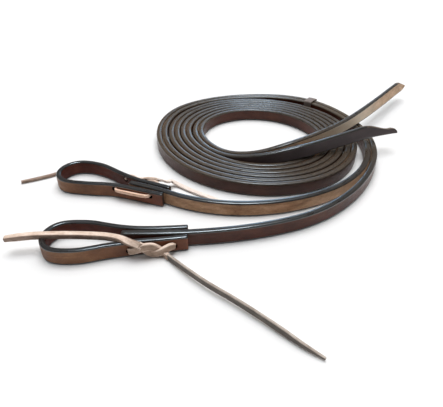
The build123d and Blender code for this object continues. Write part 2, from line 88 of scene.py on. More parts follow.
FAR_REIN = [
    (-0.12288, -0.06782, 0.00635), (-0.10291, -0.07513, 0.00635), (-0.06692, -0.09453, 0.00635), (-0.02519,
    -0.10116, 0.00635), (0.01794, -0.09422, 0.00635), (0.05624, -0.07533, 0.00635), (0.0849, -0.0465,
    0.00635), (0.10246, -0.00681, 0.00635), (0.10442, 0.03683, 0.00635), (0.09146, 0.07828, 0.0068), (0.06425,
    0.11075, 0.00872), (0.02655, 0.13036, 0.00778), (-0.0168, 0.13411, 0.00635), (-0.05821, 0.12141, 0.00635),
    (-0.08703, 0.09944, 0.00635), (-0.102, 0.07025, 0.00635), (-0.10506, 0.03092, 0.00635), (-0.09201,
    -0.01063, 0.00635), (-0.06437, -0.0434, 0.00635), (-0.02803, -0.06215, 0.00635), (0.00957, -0.06541,
    0.00635), (0.04241, -0.05504, 0.00635), (0.06787, -0.03328, 0.00635), (0.08378, -0.00194, 0.00635),
    (0.08676, 0.03484, 0.00635), (0.07539, 0.0702, 0.00635), (0.0512, 0.09862, 0.00635), (0.01736, 0.11587,
    0.00635), (-0.01982, 0.11895, 0.00635), (-0.05274, 0.10836, 0.00635), (-0.07656, 0.0886, 0.00635),
    (-0.08961, 0.06162, 0.00635), (-0.09143, 0.02882, 0.00635), (-0.0794, -0.00574, 0.00635), (-0.05448,
    -0.03405, 0.00635), (-0.0224, -0.04972, 0.00635), (0.0099, -0.05186, 0.00635), (0.03789, -0.0423,
    0.00635), (0.05924, -0.02283, 0.00635), (0.07192, 0.00452, 0.00635), (0.07341, 0.03609, 0.00635),
    (0.06263, 0.06625, 0.00635), (0.04078, 0.09021, 0.00635), (0.01109, 0.10411, 0.00635), (-0.02017, 0.10588,
    0.00635), (-0.04769, 0.09608, 0.00635), (-0.06847, 0.07671, 0.00635), (-0.07918, 0.05042, 0.00635),
    (-0.07701, 0.0208, 0.00635), (-0.06193, -0.00821, 0.00635), (-0.03774, -0.02985, 0.00635), (-0.00977,
    -0.03918, 0.00635), (0.01852, -0.03653, 0.00635), (0.04198, -0.021, 0.00635), (0.05814, 0.00209, 0.00635),
    (0.06158, 0.03026, 0.00635), (0.05288, 0.05726, 0.00635), (0.03433, 0.07871, 0.00635), (0.00905, 0.09153,
    0.00635), (-0.01926, 0.09339, 0.00635), (-0.04554, 0.08243, 0.00635), (-0.06333, 0.05998, 0.00635),
    (-0.06628, 0.03159, 0.00635), (-0.0564, 0.00505, 0.00635), (-0.03664, -0.01583, 0.00667), (-0.00831,
    -0.02395, 0.01159), (0.02286, -0.0209, 0.02095), (0.05303, 0.00118, 0.02084), (0.08516, 0.03007, 0.02024),
    (0.11367, 0.0625, 0.02037), (0.14078, 0.09613, 0.02008), (0.16705, 0.13027, 0.01973), (0.18918, 0.15849,
    0.01945),
]
NEAR_LOOP = [
    (-0.06852, -0.13056, 0.00635), (-0.0816, -0.13157, 0.00635), (-0.09366, -0.13227, 0.00635), (-0.107,
    -0.13221, 0.00635), (-0.1197, -0.13056, 0.00635), (-0.13113, -0.1277, 0.00635), (-0.1432, -0.12446,
    0.00635), (-0.16226, -0.12463, 0.00635), (-0.17092, -0.13092, 0.00635), (-0.17423, -0.1411, 0.00635),
    (-0.17092, -0.15128, 0.00635), (-0.16226, -0.15757, 0.00635), (-0.14574, -0.15786, 0.00635), (-0.13557,
    -0.15507, 0.00635), (-0.12542, -0.15189, 0.00635), (-0.11462, -0.14986, 0.00635), (-0.10319, -0.14681,
    0.00635), (-0.09176, -0.14567, 0.00635), (-0.08033, -0.14402, 0.00635), (-0.06801, -0.14199, 0.00635),
]
FAR_LOOP = [
    (-0.08732, -0.07633, 0.00635), (-0.09665, -0.07226, 0.00635), (-0.10611, -0.06826, 0.00635), (-0.11564,
    -0.06395, 0.00635), (-0.12465, -0.05829, 0.00635), (-0.1343, -0.05169, 0.00635), (-0.14446, -0.04356,
    0.00635), (-0.15462, -0.03645, 0.00635), (-0.17247, -0.03091, 0.00635), (-0.18379, -0.03503, 0.00635),
    (-0.19017, -0.04524, 0.00635), (-0.18891, -0.05722, 0.00635), (-0.18055, -0.06588, 0.00635), (-0.16351,
    -0.06871, 0.00635), (-0.15208, -0.06998, 0.00635), (-0.14066, -0.07074, 0.00635), (-0.1305, -0.07328,
    0.00635), (-0.12034, -0.07684, 0.00635), (-0.10954, -0.08077, 0.00635), (-0.10065, -0.08408, 0.00635),
    (-0.09227, -0.087, 0.00635),
]
NEAR_LACE_LEFT = [
    (-0.09995, -0.15267, 0.01072), (-0.1026, -0.15322, 0.0133), (-0.1089, -0.151, 0.01371), (-0.11627,
    -0.14694, 0.01363), (-0.12542, -0.14434, 0.01352), (-0.13748, -0.14313, 0.01342), (-0.15272, -0.1425,
    0.0134), (-0.16923, -0.14275, 0.0134), (-0.18447, -0.14338, 0.01314), (-0.19946, -0.14567, 0.01225),
]
NEAR_LACE_RIGHT = [
    (-0.08338, -0.1521, 0.0025), (-0.07755, -0.15837, 0.0031), (-0.06572, -0.17113, 0.00447), (-0.05239,
    -0.18332, 0.00445), (-0.03778, -0.19437, 0.00433), (-0.02254, -0.20681, 0.00394), (-0.0073, -0.22002,
    0.00331), (0.00539, -0.23121, 0.00257), (0.01467, -0.23723, 0.00151),
]
FAR_LACE_LEFT = [
    (-0.11921, -0.05599, 0.0056), (-0.12331, -0.0528, 0.0038), (-0.1301, -0.04829, 0.0022), (-0.13822,
    -0.04172, 0.0015), (-0.14896, -0.03364, 0.0014), (-0.16246, -0.02703, 0.0014), (-0.17748, -0.02248,
    0.0014), (-0.19146, -0.03074, 0.0014), (-0.20542, -0.04178, 0.0014), (-0.22613, -0.05118, 0.0014),
]
FAR_LACE_RIGHT = [
    (-0.10248, -0.06263, 0.0112), (-0.09667, -0.06296, 0.011), (-0.09071, -0.06292, 0.0086), (-0.08936,
    -0.05506, 0.0054), (-0.08499, -0.05529, 0.003), (-0.07942, -0.05828, 0.0017), (-0.07235, -0.06377,
    0.0014), (-0.06456, -0.06925, 0.0014), (-0.05607, -0.07477, 0.0014), (-0.0435, -0.08319, 0.0014),
    (-0.02826, -0.08877, 0.0014), (-0.01556, -0.08992, 0.0014),
]
NEAR_HOLES = {"points": [(-0.1103, -0.13792, 0.00533), (-0.07792, -0.13672, 0.00533)], "direction": (-0.0372, 0.9993)}
FAR_HOLES = {"points": [(-0.13108, -0.06453, 0.00889), (-0.10009, -0.07723, 0.00889)], "direction": (0.3792, 0.9253)}

W, T = 0.0127, 0.0056          # rein width and thickness
LOOP_T = 0.0044
LACE_W, LACE_T = 0.0048, 0.0024
MM = 0.001


# ------------------------------------------------------------------ curves
def line_of(points, step):
    """The NURBS spline through these control points, as evenly spaced points."""
    curve = bpy.data.curves.new("route", "CURVE")
    curve.dimensions = "3D"
    curve.resolution_u = 16
    spline = curve.splines.new("NURBS")
    spline.points.add(len(points) - 1)
    for p, q in zip(spline.points, points):
        p.co = (*q, 1.0)
    spline.order_u = 3
    spline.use_endpoint_u = True
    spline.resolution_u = 16
    holder = bpy.data.objects.new("route", curve)
    mesh = bpy.data.meshes.new_from_object(holder)
    co = np.array([v.co[:] for v in mesh.vertices])
    bpy.data.objects.remove(holder)
    bpy.data.meshes.remove(mesh)
    bpy.data.curves.remove(curve)
    keep = np.r_[True, np.linalg.norm(np.diff(co, axis=0), axis=1) > 1e-7]
    return even(co[keep], step)


def even(co, step):
    s = np.r_[0, np.cumsum(np.linalg.norm(np.diff(co, axis=0), axis=1))]
    n = max(2, int(round(s[-1] / step)) + 1)
    t = np.linspace(0, s[-1], n)
    return np.stack([np.interp(t, s, co[:, k]) for k in range(3)], axis=1)


def arc_length(co):
    return np.r_[0, np.cumsum(np.linalg.norm(np.diff(co, axis=0), axis=1))]


def tangents(co):
    t = np.gradient(co, axis=0)
    t[1:-1] = co[2:] - co[:-2]
    return t / np.linalg.norm(t, axis=1)[:, None]


def unit(a):
    a = np.asarray(a, float)
    return a / np.linalg.norm(a, axis=-1, keepdims=True)


def noise1(x, seed, freq):
    """Smooth one-dimensional noise in -1..1."""
    return np.array([noise.noise(Vector((v * freq + seed * 17.3, seed * 3.7, 0.5))) for v in x])


# --------------------------------------------------------------- strap mesh
def band_profile(thick, high, radius, crown, arc=4, flat=3):
    """Rounded rectangle, x = thickness, y = height. Returns points, and the region of the side
    that follows each point: 0 the +x face, 1 edges and corners, 2 the -x face."""
    a, b, r = thick / 2, high / 2, radius
    pts, reg = [], []
    inner = b - r
    steps = [-inner, -inner + 0.35 * MM] + list(np.linspace(-inner, inner, flat + 2)[1:-1]) + [inner - 0.35 * MM]
    for y in steps:
        pts.append((a, y)); reg.append(0)
    reg[-1] = 0
    for k in range(arc + 1):
        g = math.pi / 2 * k / arc
        pts.append((a - r + r * math.cos(g), inner + r * math.sin(g))); reg.append(1)
    m = a - r
    for x in (0.5 * m, 0.0, -0.5 * m):
        pts.append((x, b + crown * (1 - (x / max(m, 1e-9)) ** 2))); reg.append(1)
    for k in range(arc + 1):
        g = math.pi / 2 * k / arc
        pts.append((-(a - r) - r * math.sin(g), inner + r * math.cos(g))); reg.append(1)
    reg[-1] = 2
    for y in [inner - 0.35 * MM] + list(np.linspace(inner, -inner, flat + 2)[1:-1]) + [-inner + 0.35 * MM]:
        pts.append((-a, y)); reg.append(2)
    for k in range(arc + 1):
        g = math.pi / 2 * k / arc
        pts.append((-(a - r) - r * math.cos(g), -inner - r * math.sin(g))); reg.append(1)
    for x in (-0.5 * m, 0.0, 0.5 * m):
        pts.append((x, -b - crown * (1 - (x / max(m, 1e-9)) ** 2))); reg.append(1)
    for k in range(arc):
        g = math.pi / 2 * k / arc
        pts.append((a - r + r * math.sin(g), -inner - r * math.cos(g))); reg.append(1)
    return np.array(pts), reg


def sweep_band(name, co, side, profile, regions, materials, shape=None, bevel=0.0006, region_of=None,
               s_shift=0.0, cap_region=3):
    """Sweeps a closed profile along co. side is the +x direction of each ring.
    shape(s, points) may change a ring's profile. Material slots: face 0, edge 1, face 2, cut end 3."""
    co = np.asarray(co, float)
    s = arc_length(co)
    total = s[-1]
    if bevel:
        # a short extra ring at each end, so that the cut ends are eased
        def at(v):
            return np.array([np.interp(v, s, co[:, k]) for k in range(3)])
        inner = (s > bevel * 1.5) & (s < total - bevel * 1.5)
        co2 = np.vstack([at(0), at(bevel), co[inner], at(total - bevel), at(total)])
        side = np.asarray(side, float)
        def side_at(v):
            return np.array([np.interp(v, s, side[:, k]) for k in range(3)])
        side = np.vstack([side_at(0), side_at(bevel), side[inner], side_at(total - bevel), side_at(total)])
        co = co2
        s = arc_length(co)
    tan = tangents(co)
    tan[0], tan[-1] = tan[1], tan[-2]
    side = np.asarray(side, float)
    side = unit(side - (side * tan).sum(1)[:, None] * tan)
    up = np.cross(side, tan)
    m = len(profile)
    perim = np.r_[0, np.cumsum(np.linalg.norm(np.diff(np.vstack([profile, profile[:1]]), axis=0), axis=1))]
    verts = []
    for i in range(len(co)):
        p = profile.copy()
        if shape is not None:
            p = shape(s[i], total, p)
        if bevel and i in (0, len(co) - 1):
            c = p.mean(0)
            ext = (p.max(0) - p.min(0)) / 2
            p = c + (p - c) * (1 - bevel * 0.8 / np.maximum(ext, bevel * 1.2))
        verts.append(co[i] + p[:, :1] * side[i] + p[:, 1:] * up[i])
    verts = np.vstack(verts)
    faces, mats, uvs = [], [], []
    n = len(co)
    for i in range(n - 1):
        for j in range(m):
            k = (j + 1) % m
            faces.append((i * m + j, i * m + k, (i + 1) * m + k, (i + 1) * m + j))
            mats.append(regions[j] if region_of is None else region_of(0.5 * (s[i] + s[i + 1]), total, j, regions[j]))
            u0, u1 = (s[i] + s_shift) * 100, (s[i + 1] + s_shift) * 100
            v0, v1 = perim[j] * 100, perim[j + 1] * 100
            uvs += [(u0, v0), (u0, v1), (u1, v1), (u1, v0)]
    faces.append(tuple(reversed(range(m)))); mats.append(cap_region)
    uvs += [(profile[j][0] * 100 + 31, profile[j][1] * 100) for j in reversed(range(m))]
    faces.append(tuple((n - 1) * m + j for j in range(m))); mats.append(cap_region)
    uvs += [(profile[j][0] * 100 + 47, profile[j][1] * 100) for j in range(m)]
    mesh = bpy.data.meshes.new(name)
    mesh.from_pydata([tuple(v) for v in verts], [], faces)
    mesh.update()
    for mat in materials:
        mesh.materials.append(mat)
    mesh.polygons.foreach_set("material_index", mats)
    mesh.polygons.foreach_set("use_smooth", [True] * (len(faces) - 2) + [False, False])
    layer = mesh.uv_layers.new(name="strap")
    layer.data.foreach_set("uv", [c for uv in uvs for c in uv])
    obj = bpy.data.objects.new(name, mesh)
    bpy.context.collection.objects.link(obj)
    # faces look outwards
    bm = bmesh.new()
    bm.from_mesh(mesh)
    bmesh.ops.recalc_face_normals(bm, faces=bm.faces)
    bm.to_mesh(mesh)
    bm.free()
    return obj


def outward(co, lean=None):
    """The right-hand side of the direction of travel, leaning the top back by lean radians."""
    t = tangents(co)
    side = unit(np.stack([t[:, 1], -t[:, 0], np.zeros(len(t))], axis=1))
    up = np.cross(side, t)
    if lean is None:
        return side
    a = lean[:, None]
    return side * np.cos(a) + up * np.sin(a)


# --------------------------------------------------------------- materials
def lin(*rgb):
    out = []
    for c in rgb:
        c = c / 255.0
        out.append(c / 12.92 if c <= 0.04045 else ((c + 0.055) / 1.055) ** 2.4)
    return (*out, 1.0)


class Shader:
    def __init__(self, name, rough=0.5, spec=0.5, coat=0.0, coat_rough=0.2, sheen=0.0, sheen_tint=None, coat_ior=1.5,
                 spec_tint=None):
        self.mat = bpy.data.materials.new(name)
        self.mat.use_nodes = True
        self.nodes = self.mat.node_tree.nodes
        self.links = self.mat.node_tree.links
        self.nodes.clear()
        out = self.nodes.new("ShaderNodeOutputMaterial")
        self.bsdf = self.nodes.new("ShaderNodeBsdfPrincipled")
        self.links.new(self.bsdf.outputs[0], out.inputs[0])
        self.bsdf.inputs["Roughness"].default_value = rough
        self.bsdf.inputs["Specular IOR Level"].default_value = spec
        if spec_tint:
            self.bsdf.inputs["Specular Tint"].default_value = spec_tint
        self.bsdf.inputs["Coat Weight"].default_value = coat
        self.bsdf.inputs["Coat Roughness"].default_value = coat_rough
        self.bsdf.inputs["Coat IOR"].default_value = coat_ior
        self.bsdf.inputs["Sheen Weight"].default_value = sheen
        if sheen_tint:
            self.bsdf.inputs["Sheen Tint"].default_value = sheen_tint
        uv = self.nodes.new("ShaderNodeUVMap")
        uv.uv_map = "strap"
        self.uv = uv.outputs[0]
        self.normal = None

    def node(self, kind, **values):
        n = self.nodes.new(kind)
        for k, v in values.items():
            if hasattr(n, k):
                setattr(n, k, v)
            else:
                n.inputs[k.replace("_", " ")].default_value = v
        return n

    def mapped(self, scale, offset=(0, 0, 0)):
        n = self.nodes.new("ShaderNodeMapping")
        self.links.new(self.uv, n.inputs["Vector"])
        n.inputs["Scale"].default_value = scale
        n.inputs["Location"].default_value = offset
        return n.outputs[0]

    def noise(self, scale, stretch=(1, 1, 1), detail=4.0, roughness=0.55, distortion=0.0, offset=(0, 0, 0)):
        n = self.nodes.new("ShaderNodeTexNoise")
        self.links.new(self.mapped(stretch, offset), n.inputs["Vector"])
        n.inputs["Scale"].default_value = scale
        n.inputs["Detail"].default_value = detail
        n.inputs["Roughness"].default_value = roughness
        n.inputs["Distortion"].default_value = distortion
        return n.outputs["Fac"]

    def voronoi(self, scale, stretch=(1, 1, 1), feature="DISTANCE_TO_EDGE", randomness=1.0):
        n = self.nodes.new("ShaderNodeTexVoronoi")
        n.feature = feature
        self.links.new(self.mapped(stretch), n.inputs["Vector"])
        n.inputs["Scale"].default_value = scale
        n.inputs["Randomness"].default_value = randomness
        return n.outputs["Distance"]

    def ramp(self, fac, stops):
        n = self.nodes.new("ShaderNodeValToRGB")
        r = n.color_ramp
        r.elements[0].position, r.elements[0].color = stops[0][0], stops[0][1]
        r.elements[1].position, r.elements[1].color = stops[-1][0], stops[-1][1]
        for pos, col in stops[1:-1]:
            e = r.elements.new(pos)
            e.color = col
        self.links.new(fac, n.inputs["Fac"])
        return n.outputs["Color"]

    def mix(self, fac, a, b, blend="MIX"):
        n = self.nodes.new("ShaderNodeMix")
        n.data_type = "RGBA"
        n.blend_type = blend
        for socket, value in ((n.inputs[0], fac), (n.inputs[6], a), (n.inputs[7], b)):
            if isinstance(value, (int, float)):
                socket.default_value = value
            elif isinstance(value, tuple):
                socket.default_value = value
            else:
                self.links.new(value, socket)
        return n.outputs[2]

    def range(self, fac, a, b, c, d):
        n = self.nodes.new("ShaderNodeMapRange")
        self.links.new(fac, n.inputs["Value"])
        for k, v in zip(("From Min", "From Max", "To Min", "To Max"), (a, b, c, d)):
            n.inputs[k].default_value = v
        return n.outputs[0]

    def math(self, op, a, b=0.0):
        n = self.nodes.new("ShaderNodeMath")
        n.operation = op
        for socket, value in ((n.inputs[0], a), (n.inputs[1], b)):
            if isinstance(value, (int, float)):
                socket.default_value = value
            else:
                self.links.new(value, socket)
        return n.outputs[0]

    def bump(self, height, strength, distance):
        n = self.nodes.new("ShaderNodeBump")
        n.inputs["Strength"].default_value = strength
        n.inputs["Distance"].default_value = distance
        self.links.new(height, n.inputs["Height"])
        if self.normal is not None:
            self.links.new(self.normal, n.inputs["Normal"])
        self.normal = n.outputs[0]

    def attribute(self, name):
        n = self.nodes.new("ShaderNodeAttribute")
        n.attribute_name = name
        return n.outputs["Fac"]

    def done(self, color, rough=None):
        self.links.new(color, self.bsdf.inputs["Base Color"])
        if rough is not None:
            self.links.new(rough, self.bsdf.inputs["Roughness"])
        if self.normal is not None:
            self.links.new(self.normal, self.bsdf.inputs["Normal"])
        return self.mat


def grain_leather(name, dark, mid, light, rough=(0.38, 0.55), coat=0.0, mottle=0.35, spec=0.5, red_end=False,
                  painted_tail_sheen_and_tone=False):
    m = Shader(name, spec=spec, coat=coat, coat_rough=0.25)
    cloud = m.noise(mottle, (1, 1.6, 1), 5.0, 0.6)
    base = m.ramp(cloud, [(0.32, lin(*dark)), (0.5, lin(*mid)), (0.70, lin(*light))])
    fine = m.noise(7.0, (1, 1.3, 1), 6.0, 0.65)
    base = m.mix(m.range(fine, 0.35, 0.75, 0.0, 0.35), base, lin(*[c * 0.55 for c in dark]))
    scuff = m.noise(1.1, (0.25, 3.0, 1), 4.0, 0.7, offset=(3, 7, 0))
    base = m.mix(m.range(scuff, 0.60, 0.78, 0.0, 0.4), base, lin(*[min(255, c * 1.35) for c in light]))
    if painted_tail_sheen_and_tone:
        # the last hand's breadth of the strap is painted greyer, a painted bluish reflection of the light on the glossy
        # tail
        sep = m.nodes.new("ShaderNodeSeparateXYZ")
        m.links.new(m.uv, sep.inputs[0])
        cm = m.math("MODULO", sep.outputs[0], 300.0)
        base = m.mix(m.range(cm, 224.0, 238.0, 0.0, 0.85), base, m.mix(cloud, lin(58, 52, 53), lin(92, 86, 88)))
        base = m.mix(m.math("MULTIPLY", m.range(cm, 42.0, 52.0, 0.0, 0.45), m.range(cm, 100.0, 120.0, 1.0, 0.0)), base, lin(44, 22, 13))
    if red_end:
        # the strap reddens towards the end that is stacked on the rein
        sep = m.nodes.new("ShaderNodeSeparateXYZ")
        m.links.new(m.uv, sep.inputs[0])
        along = m.math("ABSOLUTE", m.math("SUBTRACT", m.math("MODULO", sep.outputs[0], 40.0), 22.8))
        base = m.mix(m.range(along, 0.5, 7.0, 0.75, 0.0), base, m.mix(cloud, lin(80, 38, 24), lin(126, 68, 46)))
    pebble = m.voronoi(13.0, (1, 1.15, 1))
    m.bump(m.range(pebble, 0.0, 0.22, 0.0, 1.0), 0.22, 0.00012)
    m.bump(m.noise(30.0, (1, 1, 1), 3.0), 0.12, 0.00008)
    m.bump(m.noise(1.6, (1, 1, 1), 3.0, 0.5, offset=(9, 1, 0)), 0.35, 0.0004)
    r = m.range(m.noise(2.3, (0.6, 1.5, 1), 5.0), 0.3, 0.7, rough[0], rough[1])
    return m.done(base, r)


def flesh_leather(name, dark, mid, light, paler=False):
    m = Shader(name, spec=0.25, sheen=0.15, sheen_tint=lin(220, 190, 160))
    cloud = m.noise(0.55, (1, 2.2, 1), 6.0, 0.65)
    base = m.ramp(cloud, [(0.30, lin(*dark)), (0.5, lin(*mid)), (0.68, lin(*light))])
    fibre = m.noise(2.6, (1.0, 7.0, 1), 8.0, 0.72, 0.4)
    base = m.mix(m.range(fibre, 0.42, 0.72, 0.0, 0.65), base, lin(*[c * 0.62 for c in mid]))
    fleck = m.noise(9.0, (0.8, 2.4, 1), 4.0, 0.7, offset=(5, 2, 0))
    if paler:
        # drier and paler away from the hand, where the strap is handled less
        sep = m.nodes.new("ShaderNodeSeparateXYZ")
        m.links.new(m.uv, sep.inputs[0])
        cm = m.math("MODULO", sep.outputs[0], 300.0)
        away = m.math("MULTIPLY", m.range(cm, 14.0, 21.0, 0.0, 0.62), m.range(cm, 60.0, 90.0, 1.0, 0.4))
        base = m.mix(away, base, m.mix(cloud, lin(190, 166, 142), lin(244, 226, 206)))
        # near the tail the flesh is lightened as painted light, lifting the shade the near tail casts on it
        end = m.math("MULTIPLY", m.range(cm, 221.0, 227.0, 0.0, 0.75), m.range(cm, 233.0, 240.0, 1.0, 0.0))
        base = m.mix(end, base, lin(228, 216, 196))
    base = m.mix(m.range(fleck, 0.58, 0.75, 0.0, 0.5), base, lin(*[min(255, c * 1.25) for c in light]))
    m.bump(fibre, 0.5, 0.0004)
    m.bump(m.noise(22.0, (0.7, 1.6, 1), 5.0, 0.7), 0.4, 0.0002)
    return m.done(base, m.range(cloud, 0.3, 0.7, 0.78, 0.95))


def edge_leather(name, dark, mid, light, rough=(0.24, 0.40), coat=0.8, coat_ior=1.65, worn=None):
    """Burnished edge. worn = colours of the browner, duller edge further along the strap."""
    m = Shader(name, spec=0.6, coat=coat, coat_rough=0.15, coat_ior=coat_ior, spec_tint=(0.88, 0.95, 1.0, 1.0))
    layer = m.noise(1.5, (0.25, 9.0, 1), 6.0, 0.6)
    base = m.ramp(layer, [(0.33, lin(*dark)), (0.52, lin(*mid)), (0.72, lin(*light))])
    wear = m.noise(0.8, (0.6, 1.0, 1), 4.0, 0.6, offset=(2, 4, 0))
    base = m.mix(m.range(wear, 0.52, 0.75, 0.0, 0.45), base, lin(*[min(255, c * 1.3) for c in light]))
    patch = m.noise(0.45, (0.5, 1.0, 1), 4.0, 0.6, offset=(7, 1, 0))
    gloss = m.range(patch, 0.36, 0.62, coat * 0.35, coat)
    if worn:
        sep = m.nodes.new("ShaderNodeSeparateXYZ")
        m.links.new(m.uv, sep.inputs[0])
        cm = m.math("MODULO", sep.outputs[0], 300.0)
        along = m.math("MULTIPLY", m.range(cm, 20.0, 36.0, 0.0, 1.0), m.range(cm, 226.0, 236.0, 1.0, 0.25))
        fleck = m.noise(5.0, (0.6, 2.0, 1), 5.0, 0.7, offset=(1, 9, 0))
        old = m.ramp(fleck, [(0.34, lin(*worn[0])), (0.5, lin(*worn[1])), (0.68, lin(*worn[2]))])
        rubbed = m.math("MULTIPLY", m.range(cm, 24.0, 34.0, 0.0, 0.22), m.range(cm, 48.0, 62.0, 1.0, 0.0))
        base = m.mix(rubbed, m.mix(along, base, old), m.mix(fleck, lin(96, 82, 64), lin(142, 124, 100)))
        gloss = m.math("MULTIPLY", gloss, m.range(along, 0.0, 1.0, 1.15, 0.45))
        # the turns that lie on the left have less coat gloss, and are painted darker and browner as painted shade where
        # the light from the back gives them no sheen
        place = m.nodes.new("ShaderNodeTexCoord")
        xyz = m.nodes.new("ShaderNodeSeparateXYZ")
        m.links.new(place.outputs["Object"], xyz.inputs[0])
        dull_painted_shade = m.math("MULTIPLY", m.range(xyz.outputs[0], -0.07, 0.0, 1.0, 0.0), m.range(xyz.outputs[1], 0.055, 0.09, 1.0, 0.0))
        dull_painted_shade = m.math("MULTIPLY", dull_painted_shade, along)
        gloss = m.math("MULTIPLY", gloss, m.range(dull_painted_shade, 0.0, 1.0, 1.0, 0.35))
        base = m.mix(m.range(dull_painted_shade, 0.0, 1.0, 0.0, 0.7), base, m.mix(fleck, lin(54, 43, 33), lin(92, 76, 58)))
    m.links.new(gloss, m.bsdf.inputs["Coat Weight"])
    m.bump(layer, 0.30, 0.00016)
    m.bump(m.noise(12.0, (0.3, 2.5, 1), 4.0, 0.6), 0.22, 0.0001)
    return m.done(base, m.range(m.noise(1.8, (0.4, 2, 1), 4.0), 0.3, 0.7, rough[0], rough[1]))


def lace_leather(name, dark, mid, light, rough=0.8, fuzz=0.35):
    m = Shader(name, spec=0.3, sheen=fuzz, sheen_tint=lin(245, 225, 205))
    cloud = m.noise(1.2, (0.8, 2.0, 1), 5.0, 0.6)
    base = m.ramp(cloud, [(0.32, lin(*dark)), (0.5, lin(*mid)), (0.68, lin(*light))])
    fibre = m.noise(6.0, (0.8, 4.0, 1), 7.0, 0.7, 0.3)
    base = m.mix(m.range(fibre, 0.45, 0.75, 0.0, 0.45), base, lin(*[c * 0.78 for c in dark]))
    m.bump(fibre, 0.5, 0.0003)
    m.bump(m.noise(26.0, (1, 1.5, 1), 4.0), 0.35, 0.00015)
    return m.done(base, m.range(cloud, 0.3, 0.7, rough, min(1.0, rough + 0.15)))


GRAIN = grain_leather("rein_grain", (58, 26, 15), (80, 40, 26), (100, 55, 37), rough=(0.30, 0.46), spec=0.28, painted_tail_sheen_and_tone=True)
FLESH = flesh_leather("rein_flesh", (112, 80, 56), (172, 136, 106), (208, 172, 142), paler=True)
EDGE = edge_leather("rein_edge", (24, 21, 18), (38, 33, 29), (56, 49, 42), coat=0.85, coat_ior=1.8,
                    worn=((44, 36, 29), (64, 54, 44), (94, 80, 65)))
CUT = flesh_leather("rein_cut_end", (66, 58, 52), (96, 86, 78), (124, 112, 102))
LOOP_OUT = grain_leather("loop_outer", (95, 60, 36), (126, 85, 56), (152, 111, 77), rough=(0.42, 0.6), spec=0.3, red_end=True)
LOOP_IN = grain_leather("loop_inner", (62, 22, 10), (86, 34, 18), (106, 48, 28), rough=(0.5, 0.7), spec=0.3)
LOOP_EDGE = edge_leather("loop_edge", (20, 17, 16), (32, 28, 26), (48, 42, 38), coat=0.9, coat_ior=1.9)
LOOP_CUT = flesh_leather("loop_cut_end", (34, 22, 16), (52, 34, 26), (74, 50, 40))
# the near-black hole wall is painted shade inside the punched holes
HOLE_WALL_SHADE = grain_leather("loop_hole_painted_shade", (18, 10, 8), (28, 16, 12), (38, 22, 18), rough=(0.7, 0.9), spec=0.15)
# The lace colours are lit and shaded copies of one suede: the cream suede for faces that look up into the light, and
# darker broad, side and grey-face copies as painted shade on faces turned from it; the grey face is also the lace's
# dyed side.
LACE = lace_leather("lace_suede", (188, 162, 144), (216, 194, 178), (236, 218, 204))
LACE_SHADED_SIDE = lace_leather("lace_side_painted_shade", (118, 98, 86), (150, 128, 114), (178, 156, 142), rough=0.7, fuzz=0.12)
LACE_HALF_SHADED = lace_leather("lace_broad_painted_shade", (146, 122, 104), (176, 150, 132), (200, 176, 158), rough=0.75, fuzz=0.2)
LACE_DYED_SHADED = lace_leather("lace_dyed_face_painted_shade", (84, 78, 72), (104, 97, 90), (126, 118, 110), rough=0.6, fuzz=0.06)
LACE_RIM = lace_leather("lace_rim", (142, 130, 120), (170, 158, 148), (192, 182, 172), fuzz=0.1)
LACE_PALE = lace_leather("lace_pale", (212, 194, 182), (234, 220, 210), (246, 236, 228), fuzz=0.4)
LACE_PINK = lace_leather("lace_run", (206, 164, 140), (236, 198, 174), (250, 222, 202))
KEEPER = grain_leather("keeper_leather", (104, 92, 86), (130, 117, 110), (154, 142, 136), rough=(0.4, 0.6))


# ------------------------------------------------------------------- reins
profile, regions = band_profile(T, W, 1.45 * MM, 0.15 * MM, arc=6)
flip = [{0: 2, 2: 0}.get(r, r) for r in regions]


def rein_shape(seed, top=None, bottom=None):
    def shape(s, total, p):
        q = p.copy()
        wob = noise.noise(Vector((s * 14 + seed * 31.7, seed, 0.3)))
        wob2 = noise.noise(Vector((s * 33 + seed * 11.1, seed, 5.3)))
        q[:, 0] *= 1 - 0.018 * (1 + wob)
        q[:, 1] *= 1 - 0.010 * (1 + wob2)
        lo, hi = -W / 2, W / 2
        t = top(total - s) if top else hi
        b = bottom(total - s) if bottom else lo
        if t < hi or b > lo:
            k = (q[:, 1] - lo) / (hi - lo)
            q[:, 1] = b + k * (t - b)
        return q
    return shape


def near_top(back):
    """Height of the upper edge this far from the near tail's tip: a long slanted cut."""
    x = back / MM
    if x >= 36:
        return W / 2
    return -W / 2 + W * float(np.interp(x, [0, 1.5, 4.5, 9, 13, 18, 24, 30, 36], [0.14, 0.32, 0.48, 0.45, 0.48, 0.60, 0.77, 0.92, 1.0]))


def far_bottom(back):
    x = back / MM
    if x >= 15:
        return -W / 2
    return -W / 2 + W * 0.24 * (1 - x / 15) ** 1.6


def far_top(back):
    """The far tail is cut to a point lying low on its face."""
    x = back / MM
    if x >= 19:
        return W / 2
    return -W / 2 + W * float(np.interp(x, [0, 1.5, 19], [0.30, 0.40, 1.0]))


def near_region(s, total, j, r):
    # the raw surface of the slanted cut shows along the upper edge of the near tail
    if total - s < 37 * MM and r == 1 and profile[j][1] > W * 0.3:
        return 3
    return r


def far_region(s, total, j, r):
    if total - s < 23 * MM and r == 1 and profile[j][1] > W * 0.3:
        return 3
    return r


def reach_out(points, extra):
    """The tail runs on straight past the route's last point."""
    a, b = Vector(points[-2]), Vector(points[-1])
    return list(points[:-1]) + [tuple(b + (b - a).normalized() * extra)]


